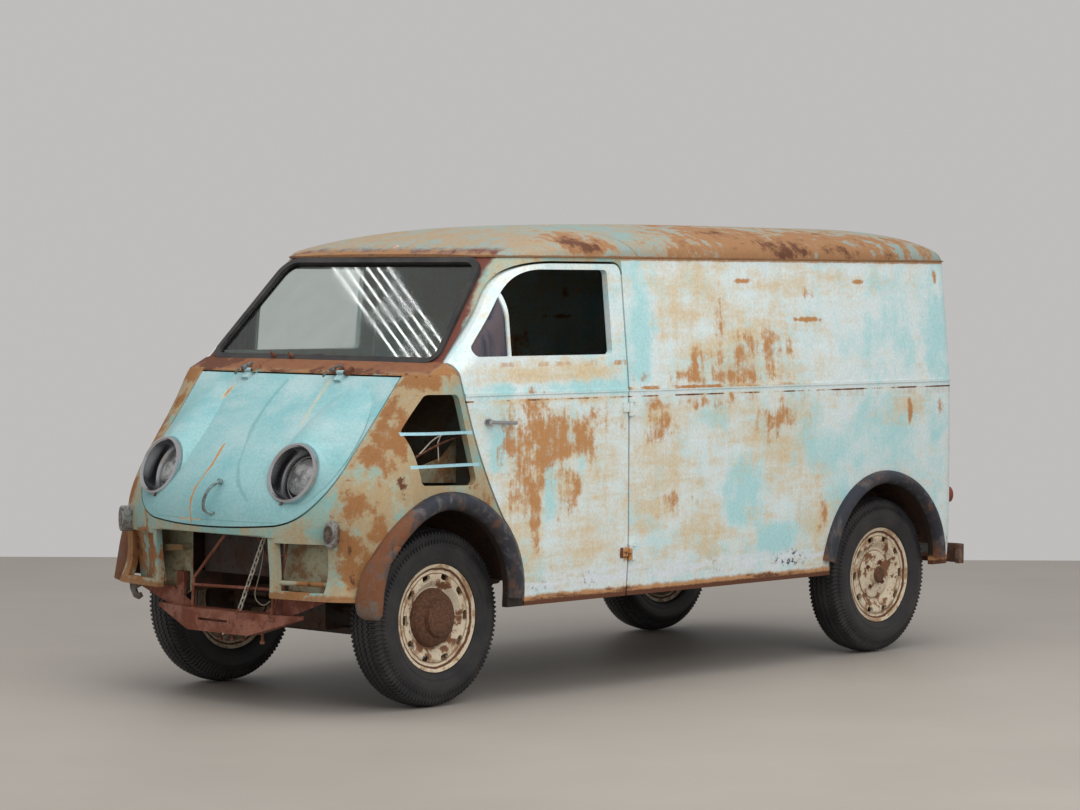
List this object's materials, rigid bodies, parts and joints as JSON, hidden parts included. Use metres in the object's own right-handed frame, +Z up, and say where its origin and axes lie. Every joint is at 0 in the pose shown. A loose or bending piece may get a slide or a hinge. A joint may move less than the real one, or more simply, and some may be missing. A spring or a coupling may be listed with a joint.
{
  "type": "forward-control delivery van",
  "caption": "Weathered one-box delivery van with rear-hinged cab doors, a sloping nose hood, a closed load body and a rear door, on disc wheels.",
  "frame": {"origin": "on the floor under the middle of the van's bounding box", "axes": "+Z up, -Y towards the nose, +X towards the van's left side"},
  "size_m": [1.6928, 4.1739, 1.9865],
  "materials": {
    "body_paint": "weathered turquoise paint with rust blooms",
    "hood_paint": "chalky turquoise paint",
    "roof_paint": "turquoise paint largely rusted through",
    "floor_paint": "dull grey-green paint",
    "frame_steel": "black paint with rust",
    "black_paint": "black paint worn to rust",
    "rusty_steel": "evenly rusted",
    "chain_steel": "galvanised, turning to rust",
    "engine_iron": "oily",
    "wheel_paint": "cream paint with rust",
    "bright_chrome": "dull chrome",
    "tyre_rubber": "dusty",
    "black_rubber": "matt",
    "wheel_plastic": "worn",
    "seat_leather": "worn leathercloth",
    "clear_glass": "clear",
    "dark_glass": "dusty, dark",
    "lamp_glass": "dull red lens"
  },
  "bodies": {
    "body": {"chassis_frame": "frame_steel", "floor_pan": "floor_paint", "front_panel": "body_paint", "body_shell": "body_paint", "roof": "roof_paint", "windscreen": "clear_glass", "windscreen_seal": "black_rubber", "wheel_housings": "frame_steel", "wheel_arch_lips": "black_paint", "front_crossmember": "rusty_steel", "brace_rods": "rusty_steel", "front_chain": "chain_steel", "rear_bumper": "rusty_steel", "engine": "engine_iron", "front_axle": "frame_steel", "rear_axle": "frame_steel", "bench_seat": "seat_leather", "dashboard": "body_paint", "steering_column": "frame_steel", "turn_signals": "lamp_glass", "rear_lamps": "lamp_glass", "exhaust": "rusty_steel"},
    "left_door": {"left_door": "body_paint", "left_vent_glass": "dark_glass", "left_door_handle": "bright_chrome"},
    "right_door": {"right_door": "body_paint", "right_vent_glass": "dark_glass", "right_door_handle": "bright_chrome"},
    "hood": {"hood": "hood_paint", "headlights": "bright_chrome", "hood_handle": "hood_paint"},
    "rear_door": {"rear_door": "body_paint", "rear_window": "clear_glass", "rear_door_handle": "bright_chrome"},
    "left_knuckle": {"left_knuckle": "frame_steel"},
    "right_knuckle": {"right_knuckle": "frame_steel"},
    "steering_wheel": {"steering_wheel": "wheel_plastic"},
    "front_left_wheel": {"front_left_wheel": "wheel_paint", "front_left_tyre": "tyre_rubber"},
    "front_right_wheel": {"front_right_wheel": "wheel_paint", "front_right_tyre": "tyre_rubber"},
    "rear_left_wheel": {"rear_left_wheel": "wheel_paint", "rear_left_tyre": "tyre_rubber"},
    "rear_right_wheel": {"rear_right_wheel": "wheel_paint", "rear_right_tyre": "tyre_rubber"}
  },
  "joints": [
    {"name": "left_steer", "type": "hinge", "parent": "body", "child": "left_knuckle", "pos_m": [0.507, -1.4085, 0.363], "axis": [0, 0, 1], "range_deg": [-28, 28]},
    {"name": "right_steer", "type": "hinge", "parent": "body", "child": "right_knuckle", "pos_m": [-0.507, -1.4085, 0.363], "axis": [0, 0, 1], "range_deg": [-28, 28]},
    {"name": "steering_wheel_turn", "type": "hinge", "parent": "body", "child": "steering_wheel", "pos_m": [0.29, -0.9395, 1.229], "axis": [0, 0.3245, 0.9459], "range_deg": [-336, 336]},
    {"name": "front_left_roll", "type": "hinge", "parent": "left_knuckle", "child": "front_left_wheel", "pos_m": [0.616, -1.4085, 0.363], "axis": [1, 0, 0], "continuous": true},
    {"name": "front_right_roll", "type": "hinge", "parent": "right_knuckle", "child": "front_right_wheel", "pos_m": [-0.616, -1.4085, 0.363], "axis": [1, 0, 0], "continuous": true},
    {"name": "rear_left_roll", "type": "hinge", "parent": "body", "child": "rear_left_wheel", "pos_m": [0.664, 1.4685, 0.363], "axis": [1, 0, 0], "continuous": true},
    {"name": "rear_right_roll", "type": "hinge", "parent": "body", "child": "rear_right_wheel", "pos_m": [-0.664, 1.4685, 0.363], "axis": [1, 0, 0], "continuous": true},
    {"name": "left_door_hinge", "type": "hinge", "parent": "body", "child": "left_door", "pos_m": [0.812, -0.3685, 0.9], "axis": [0, 0, 1], "range_deg": [0, 70]},
    {"name": "right_door_hinge", "type": "hinge", "parent": "body", "child": "right_door", "pos_m": [-0.812, -0.3685, 0.9], "axis": [0, 0, -1], "range_deg": [0, 70]},
    {"name": "hood_hinge", "type": "hinge", "parent": "body", "child": "hood", "pos_m": [0, -1.5565, 1.35], "axis": [-1, 0, 0], "range_deg": [0, 65]},
    {"name": "rear_door_hinge", "type": "hinge", "parent": "body", "child": "rear_door", "pos_m": [0.425, 2.0175, 1], "axis": [0, 0, -1], "range_deg": [0, 110]}
  ],
  "couplings": [
    {"joint": "right_steer", "follows": "left_steer", "ratio": 1},
    {"joint": "steering_wheel_turn", "follows": "left_steer", "ratio": 12}
  ]
}
